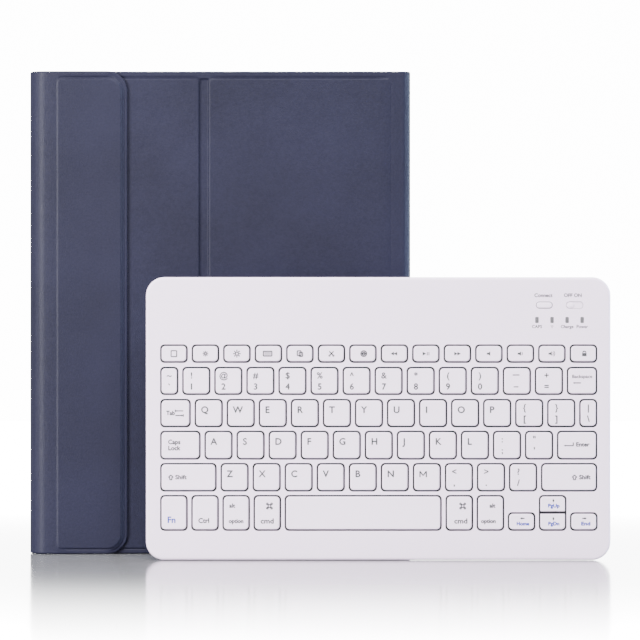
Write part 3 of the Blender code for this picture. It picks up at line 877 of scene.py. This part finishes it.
class Print:
    """Collects printed marks for one body and one ink, on a plane that faces -Y.

    Marks are given in millimetres from the point that at() sets.
    """

    def __init__(self, y):
        self.shape = bmesh.new()
        self.y = y
        self.origin = (0.0, 0.0)

    def at(self, x, z):
        self.origin = (x, z)

    def outline(self, points):
        places = [(self.origin[0] + x * MM, self.origin[1] + z * MM) for x, z in points]
        front = [self.shape.verts.new((x, self.y - INK_LIFT, z)) for x, z in places]
        back = [self.shape.verts.new((x, self.y + INK_LIFT, z)) for x, z in places]
        self.shape.faces.new(front)
        self.shape.faces.new(back[::-1])
        for i in range(len(places)):
            j = (i + 1) % len(places)
            self.shape.faces.new((front[j], front[i], back[i], back[j]))

    def bar(self, start, end, width=THIN):
        a, b = Vector(start), Vector(end)
        side = (b - a).normalized().orthogonal() * width / 2
        self.outline((a - side, b - side, b + side, a + side))

    def line(self, points, width=THIN):
        for start, end in zip(points, points[1:]):
            self.bar(start, end, width)

    def arc(self, centre, radius, width=THIN, start=0, turn=360, steps=20):
        angles = [math.radians(start + turn * n / steps) for n in range(steps + 1)]
        rings = [[(centre[0] + r * math.cos(a), centre[1] + r * math.sin(a)) for a in angles]
                 for r in (radius - width / 2, radius + width / 2)]
        for n in range(steps):
            self.outline((rings[0][n], rings[0][n + 1], rings[1][n + 1], rings[1][n]))

    def disc(self, centre, radius, steps):
        angles = [2 * math.pi * n / steps for n in range(steps)]
        self.outline([(centre[0] + radius * math.cos(a), centre[1] + radius * math.sin(a)) for a in angles])

    def frame(self, centre, width, height):
        x, z = width / 2, height / 2
        corners = ((-x, -z), (x, -z), (x, z), (-x, z), (-x, -z))
        self.line([(centre[0] + a, centre[1] + b) for a, b in corners])

    def text(self, words, place, size, width=None, align="CENTER", bold=0.13):
        """Words whose middle, or left end, is at place; a width stretches them to fit.

        They are printed four times, each a little aside and a little lower, for a bold face.
        """
        curve = bpy.data.curves.new("words", "FONT")
        curve.body = words
        curve.size = size * MM
        curve.align_x = align
        curve.align_y = "CENTER"
        curve.extrude = INK_LIFT
        curve.resolution_u = 3
        item = linked("words", curve)
        bpy.context.view_layer.update()
        graph = bpy.context.evaluated_depsgraph_get()
        mesh = bpy.data.meshes.new_from_object(item.evaluated_get(graph))
        across = [v.co.x for v in mesh.vertices]
        if width:
            stretch = width * MM / (max(across) - min(across))
            mesh.transform(Matrix.Scale(stretch, 4, (1, 0, 0)))
        mesh.transform(Matrix.Rotation(math.pi / 2, 4, "X"))
        spot = Vector((self.origin[0] + place[0] * MM, self.y, self.origin[1] + place[1] * MM))
        for layer, (aside, up) in enumerate(((-1, 0), (1, 0), (0, -1), (0, 1))):
            target = spot + Vector((aside * bold * MM, layer * LAYER, up * bold * MM))
            mesh.transform(Matrix.Translation(target))
            self.shape.from_mesh(mesh)
            mesh.transform(Matrix.Translation(-target))
        bpy.data.objects.remove(item)
        bpy.data.meshes.remove(mesh)

    def done(self, name, ink, body, slot):
        if not self.shape.verts:
            self.shape.free()
            return
        attach(new_object(name, self.shape, ink, 0), body, slot)


def arrow(ink, tip, direction, length, head=0.9):
    """A plain arrow that ends at tip."""
    tip, along = Vector(tip), Vector(direction)
    side = Vector((-along.y, along.x))
    ink.bar(tip - along * length, tip - along * head * 0.6)
    base = tip - along * head
    ink.outline((tip, base + side * head * 0.55, base - side * head * 0.55))


def up_arrow(ink):
    """A hollow arrow that points up, drawn as an outline."""
    half, stem = 1.2, 0.54
    ink.line(((-stem, -half), (-stem, 0), (-half, 0), (0, half), (half, 0), (stem, 0),
              (stem, -half), (-stem, -half)))


def looped_square(ink, x, z):
    """A square with a loop at each corner."""
    size, reach, loop = 1.35, 1.08, 0.405
    ink.frame((x, z), size, size)
    for dx in (-reach, reach):
        for dz in (-reach, reach):
            ink.arc((x + dx, z + dz), loop, steps=10)


def sun(ink, radius, rays):
    ink.arc((0, 0), radius, steps=14)
    for n in range(8):
        along = Vector((math.cos(math.pi * n / 4), math.sin(math.pi * n / 4)))
        ink.bar(along * (radius + 0.35), along * (radius + rays))


def triangles(ink, places, size, sign):
    """Filled triangles that point right, or left where sign is -1."""
    for x in places:
        ink.outline(((x + sign * size * 0.5, 0), (x - sign * size * 0.4, sign * size * 0.5),
                     (x - sign * size * 0.4, -sign * size * 0.5)))


def keyboard_sign(ink):
    ink.frame((-0.4, 0), 4.3, 2.4)
    for row in (-0.6, 0.0, 0.6):
        ink.bar((-2.1, row), (1.3, row), 0.26)


def copy_sign(ink):
    ink.frame((-0.4, 0.2), 1.9, 2.4)
    ink.frame((0.5, -0.4), 1.7, 2.0)


def cut_sign(ink):
    for side in (-1, 1):
        ink.bar((1.1 * side, -1.1), (-1.1 * side, 1.2))
        ink.arc((side, -1.0), 0.45, 0.22, steps=10)


def globe_sign(ink):
    for radius in (1.45, 0.75):
        ink.arc((0.4, 0), radius)
    ink.bar((-1.0, 0), (1.8, 0))


def play_sign(ink):
    triangles(ink, (-0.9,), 2.0, 1)
    for x in (0.7, 1.5):
        ink.bar((x, -0.85), (x, 0.85), 0.38)


def speaker(ink, waves):
    left = -0.35 * waves
    points = ((-1.1, 0.45), (-1.1, -0.45), (-0.3, -0.45), (0.6, -1.1), (0.6, 1.1), (-0.3, 0.45))
    ink.outline([(left + x, z) for x, z in points])
    for n in range(waves):
        ink.arc((left + 0.4, 0), 0.95 + 0.75 * n, 0.32, -50, 100, 8)


def lock_sign(ink):
    ink.bar((0.4, -1.3), (0.4, 0.35), 2.3)
    ink.arc((0.4, 0.5), 0.75, THIN, 0, 180, 10)


FUNCTION_SIGNS = (
    lambda ink: ink.frame((0, 0), 2.8, 3.0),
    lambda ink: sun(ink, 0.55, 0.85),
    lambda ink: sun(ink, 0.8, 1.15),
    keyboard_sign,
    copy_sign,
    cut_sign,
    globe_sign,
    lambda ink: triangles(ink, (-1.0, 0.6), 1.9, -1),
    play_sign,
    lambda ink: triangles(ink, (-0.9, 0.7), 1.9, 1),
    lambda ink: speaker(ink, 0),
    lambda ink: speaker(ink, 1),
    lambda ink: speaker(ink, 2),
    lock_sign,
)
ROW_LEGENDS = {
    "number_key_row": ("`1234567890-=", "~!@#$%^&*()_+"),
    "upper_letter_row": ("QWERTYUIOP[]\\", "          {}|"),
    "middle_letter_row": ("ASDFGHJKL;'", "         :\""),
    "lower_letter_row": ("ZXCVBNM,./", "       <>?"),
}
LETTER_M = ((2.9, -6.4), (2.9, -3.4), (4.5, -5.6), (6.1, -3.4), (6.1, -6.4))

# The word, its width, how far it is moved aside, and the arrow's direction and depth in the key.
ARROW_LEGENDS = {
    "key_arrow_left": ("Home", 6.1, 0.6, (-1, 0), 2.3),
    "key_arrow_right": ("End", 4.4, 0.9, (1, 0), 2.3),
    "key_arrow_up": ("PgUp", 5.6, 0.5, (0, 1), 2.0),
    "key_arrow_down": ("PgDn", 5.4, 0.5, (0, -1), 2.6),
}


def row_legends(ink, node, places):
    """Letters at the upper left of their keys, and pairs of signs one above the other."""
    for sides, main, shifted in zip(places, *ROW_LEGENDS[node]):
        ink.at(sides[0], sides[3])
        width = (sides[1] - sides[0]) / MM
        x = width / 2 if width < NARROW_KEY else SIGN_LEFT
        if main in "-=":
            x += 1.2
        if main == "-":
            for half, z in ((1.7, -3.4), (1.2, LOWER_SIGN)):
                ink.bar((x + 0.8 - half, z), (x + 0.8 + half, z))
        elif main == "M":
            ink.line(LETTER_M, 0.62)
        elif shifted == " ":
            ink.text(main, (2.5, -4.9), LETTER, align="LEFT")
        else:
            ink.text(shifted, (x, UPPER_SIGN), DIGIT, bold=0.10)
            ink.text(main, (x, LOWER_SIGN), DIGIT)


def tab_legend(ink):
    ink.text("Tab", (2.4, 0), WORD, 4.2, "LEFT")
    for tip, way in ((7.0, -1), (11.0, 1)):
        z = -1.15 * way
        arrow(ink, (tip, z), (way, 0), 4.0)
        ink.bar((tip, z - 0.65), (tip, z + 0.65))


def word_legends(ink, blue, node, sides):
    left, right, bottom, top = sides
    x, z = (left + right) / 2, (bottom + top) / 2
    if node == "key_tab":
        ink.at(left, z)
        tab_legend(ink)
    elif node == "key_caps_lock":
        ink.at(left, z)
        ink.text("Caps", (3.3, 1.55), 3.1, align="LEFT")
        ink.text("Lock", (3.3, -1.55), 3.1, align="LEFT")
    elif node.startswith("key_shift"):
        place, gap = (left + 4.7 * MM, 2.2) if node.endswith("left") else (right - 10.8 * MM, 2.3)
        ink.at(place, z)
        up_arrow(ink)
        ink.text("Shift", (gap, 0), WORD, 5.6, "LEFT")
    elif node == "key_enter":
        ink.at(right, z)
        arrow(ink, (-16.2, -0.2), (-1, 0), 4.9)
        ink.bar((-11.4, -0.3), (-11.4, 1.4))
        ink.text("Enter", (-10.1, 0.3), WORD, 6.6, "LEFT")
    elif node == "key_backspace":
        ink.at(x, z)
        ink.text("Backspace", (0, 2.2), 2.3, 10.0, bold=0.06)
        ink.at(x, bottom)
        arrow(ink, (-4.7, 5.4), (-1, 0), 4.1)
    elif node == "key_fn":
        blue.at(x, bottom)
        blue.text("Fn", (-1.2, 4.7), 4.5)
    elif node == "key_control":
        ink.at(x, bottom)
        ink.text("Ctrl", (-0.6, 4.4), 3.4)
    elif node.startswith("key_option"):
        place, upper, lower = (x, -2.0, 0) if node.endswith("left") else (right, -5.3, -7.3)
        ink.at(place, top)
        ink.text("alt", (upper, -4.7), WORD, 2.8)
        ink.at(place, bottom)
        ink.text("option", (lower, 4.2), WORD, 7.2)
    elif node.startswith("key_command"):
        place, upper, lower = (x, 1.1, 0) if node.endswith("left") else (right, -4.6, -5.5)
        ink.at(place, top)
        looped_square(ink, upper, -4.8)
        ink.at(place, bottom)
        ink.text("cmd", (lower, 4.2), 3.6, 6.4)
    elif node in ARROW_LEGENDS:
        word, width, aside, along, drop = ARROW_LEGENDS[node]
        length = 2.3 if along[0] else 1.7
        ink.at(x, top)
        arrow(ink, (0.3 + along[0] * length / 2, along[1] * length / 2 - drop), along, length, 1.1)
        blue.at(x, bottom)
        blue.text(word, (aside, 2.9), 2.5, width)


def deck_labels():
    """Labels above the controls and below the light windows."""
    ink = Print(DECK_Y)
    button, switch = button_sides(), switch_sides()
    ink.at((button[0] + button[1]) / 2, button[3])
    ink.text("Connect", (-0.5, 3.2), 2.6, bold=0.10)
    ink.at((switch[0] + switch[1]) / 2, button[3])
    ink.text("OFF ON", (-0.9, 3.2), 2.5, bold=0.10)
    for label, window in zip(("CAPS", None, "Charge", "Power"), light_windows()):
        ink.at((window[0] + window[1]) / 2, window[2])
        if label:
            ink.text(label, (0, -2.0), 2.2, bold=0.07)
        else:
            ink.disc((0, -2.5), 0.25, 8)
            for radius in (0.65, 1.1):
                ink.arc((0, -2.5), radius, 0.2, 45, 90, 6)
    ink.done("deck_labels", INK, "keyboard", "deck_plastic")


def make_legends():
    top = KEY_FRONT_Y + 0.02 * MM
    for node, places in KEYS.items():
        ink, blue = Print(top), Print(top)
        if node == "function_key_row":
            for sides, sign in zip(places, FUNCTION_SIGNS):
                ink.at((sides[0] + sides[1]) / 2, (sides[2] + sides[3]) / 2)
                sign(ink)
        elif node in ROW_LEGENDS:
            row_legends(ink, node, places)
        else:
            word_legends(ink, blue, node, places[0])
        ink.done(node + "_legend", INK, KEY_BODIES[node], "key_plastic")
        blue.done(node + "_blue_legend", BLUE_INK, KEY_BODIES[node], "key_plastic")
    deck_labels()


# ---- other pieces

TRAY_WALL = 1.6 * MM
TRAY_FLOOR = 1.0 * MM
TRAY_LIP = 0.9 * MM


def tray_rings(whole):
    """The tray's section, from the outside of its floor over the lip to the inside."""
    front, back = TRAY_LOW.y, TRAY_HIGH.y
    inner, mouth = grown(whole, -TRAY_WALL), grown(whole, -TRAY_WALL - MM)
    plan = (
        (whole, 0.6, 8.4, front), (whole, 0.15, 9.0, front + 0.2 * MM), (whole, 0, 9.0, front + 0.6 * MM),
        (whole, 0, 9.0, back - 0.5 * MM), (whole, 0.15, 9.0, back - 0.15 * MM), (whole, 0.5, 8.5, back),
        (mouth, -0.4, 7.0, back), (mouth, -0.1, 6.7, back - 0.12 * MM), (mouth, 0, 6.6, back - 0.4 * MM),
        (mouth, 0, 6.6, back - TRAY_LIP), (inner, 0, 7.6, back - TRAY_LIP - 0.25 * MM),
        (inner, 0, 7.6, front + TRAY_FLOOR + 0.5 * MM), (inner, 0.4, 7.2, front + TRAY_FLOOR),
    )
    return [(grown(sides, -inset * MM), radius * MM, y) for sides, inset, radius, y in plan]


def make_tray():
    """The tray as a shallow moulded shell with a soft lip, a camera hole and edge notches."""
    left, right, bottom, top = TRAY_LOW.x, TRAY_HIGH.x, TRAY_LOW.z, TRAY_HIGH.z
    tray = lofted("tray_shell", tray_rings((left, right, bottom, top)), TRAY, 10)
    shape = bmesh.new()
    hole = square(CAMERA_X, CAMERA_Z, 7.5 * MM)
    loft(shape, straight(hole, 7.5 * MM, TRAY_LOW.y - MM, TRAY_LOW.y + 3 * MM), 10)
    middle = (left + right) / 2
    depth = 2.9 * MM
    notches = (
        (middle - 32 * MM, middle + 32 * MM, -MM, bottom + depth),
        (right - 42 * MM, right - 12 * MM, top - depth, top + 2 * MM),
        (left + 26 * MM, left + 48 * MM, top - depth, top + 2 * MM),
        (left - MM, left + depth, top - 72 * MM, top - 30 * MM),
    )
    for notch in notches:
        loft(shape, straight(notch, 0.8 * MM, TRAY_LOW.y + 2.2 * MM, TRAY_HIGH.y + MM), 3)
    cut(tray, new_object("tray_tools", shape, None, 0))
    smooth_shaded(tray.data, 40)
    attach(tray, "folio_back", "tray_plastic", "tablet_tray")


FINISHES = {
    "lining": LINING,
    "catch_strip": STEEL,
    "dock_plate": STEEL,
    "magnet": STEEL,
    "charging_socket": STEEL,
    # The support plate takes the same near-black: partly its own dark colour, partly painted shade for the
    # gaps between the keys.
    "key_support_plate": GAP_SHADE,
    "membrane_sheet": MEMBRANE,
    "keyboard_bottom_cover": DECK,
    "light_guide": LIGHT,
    "circuit_board": CIRCUIT,
    "battery_cell": BATTERY,
    "rubber_foot": RUBBER,
}


def paint_nodes():
    """Gives each CAD node that still shows its own finish."""
    for word, material in FINISHES.items():
        for name, node in frame["nodes"].items():
            if word in name:
                node.data.materials.clear()
                node.data.materials.append(material)
                smooth_shaded(node.data, 30)


# ---- the studio

# The floor's glow away from the object, seen and as light on other things, and where it starts.
FLOOR_GLOW = 12.0
FLOOR_BOUNCE = 0.6
FLOOR_FADE = (0.08, 0.46)
FLOOR_FADE_POWER = 2.5
FLOOR_STRETCH = 0.45
WORLD_LIGHT = 0.85
BACKDROP_GLOW = 12.5
BACKDROP_HALF = 0.5
BACKDROP_TOP = 0.58
BACKDROP_Y = 2.3


def area_light(name, place, target, size, power, colour=(1, 1, 1)):
    data = bpy.data.lights.new(name, "AREA")
    data.shape = "RECTANGLE"
    data.size, data.size_y = size
    data.energy = power
    data.color = colour
    item = linked(name, data)
    item.location = place
    item.rotation_euler = (Vector(target) - Vector(place)).to_track_quat("-Z", "Y").to_euler()


def make_floor():
    """A pale glossy floor that brightens away from the object, so reflections fade."""
    paint = Paint("studio_floor", (0.22, 0.22, 0.223), 0.13)
    away = paint.node("ShaderNodeVectorMath", operation="LENGTH")
    paint.link(paint.stretched((FLOOR_STRETCH, 1, 1)), away.inputs[0])
    fade = paint.spread(away.outputs["Value"], 0.0, 1.0, *FLOOR_FADE)
    bend = paint.node("ShaderNodeMath", operation="POWER")
    paint.link(fade, bend.inputs[0])
    bend.inputs[1].default_value = FLOOR_FADE_POWER
    seen = paint.node("ShaderNodeLightPath").outputs["Is Camera Ray"]
    glow = paint.node("ShaderNodeMath", operation="MULTIPLY")
    paint.link(bend.outputs[0], glow.inputs[0])
    paint.link(paint.spread(seen, FLOOR_BOUNCE, FLOOR_GLOW), glow.inputs[1])
    paint.shader.inputs["Emission Color"].default_value = (1, 1, 1, 1)
    paint.link(glow.outputs[0], paint.shader.inputs["Emission Strength"])
    shape = bmesh.new()
    bmesh.ops.create_grid(shape, x_segments=8, y_segments=8, size=6.0)
    floor = new_object("studio_floor", shape, paint.material, 0)
    floor.location.z = -0.0002


def make_backdrop():
    """A bright white card far behind the object."""
    paint = Paint("studio_backdrop", (1, 1, 1), 1.0)
    paint.shader.inputs["Emission Color"].default_value = (1, 1, 1, 1)
    paint.shader.inputs["Emission Strength"].default_value = BACKDROP_GLOW
    shape = bmesh.new()
    corners = ((-1, 0), (1, 0), (1, 1), (-1, 1))
    shape.faces.new([shape.verts.new((BACKDROP_HALF * x, BACKDROP_Y, BACKDROP_TOP * z)) for x, z in corners])
    card = new_object("studio_backdrop", shape, paint.material, 0)


def make_studio():
    make_floor()
    make_backdrop()
    world = bpy.data.worlds.new("studio")
    world.use_nodes = True
    back = world.node_tree.nodes["Background"]
    back.inputs["Color"].default_value = (1.0, 1.0, 1.0, 1)
    back.inputs["Strength"].default_value = WORLD_LIGHT
    bpy.context.scene.world = world
    middle = (0.0, 0.0, 0.13)
    area_light("left_strip", (-1.00, -0.85, 0.25), (-0.10, 0.0, 0.13), (0.60, 1.2), 62)
    area_light("front_softbox", (0.10, -2.00, 1.90), middle, (2.2, 1.2), 154)
    area_light("right_rim", (1.20, 0.08, 0.30), (0.14, 0.0, 0.12), (0.4, 1.0), 48, (0.62, 0.78, 1.0))
    area_light("top_strip", (0.0, 0.15, 1.30), middle, (1.4, 0.3), 16)
    camera_data = bpy.data.cameras.new("camera")
    camera_data.lens = CAMERA_LENS
    camera_data.sensor_width = 36
    camera_data.clip_end = 50
    camera = linked("camera", camera_data)
    camera.location = (CAMERA_SIDE, FACE_Y - CAMERA_DISTANCE, CAMERA_HEIGHT)
    camera.rotation_euler = (math.radians(90), 0, 0)
    bpy.context.scene.camera = camera


make_folio()
make_tray()
make_deck()
make_caps()
make_button()
make_switch()
make_lights()
make_legends()
paint_nodes()
make_studio()
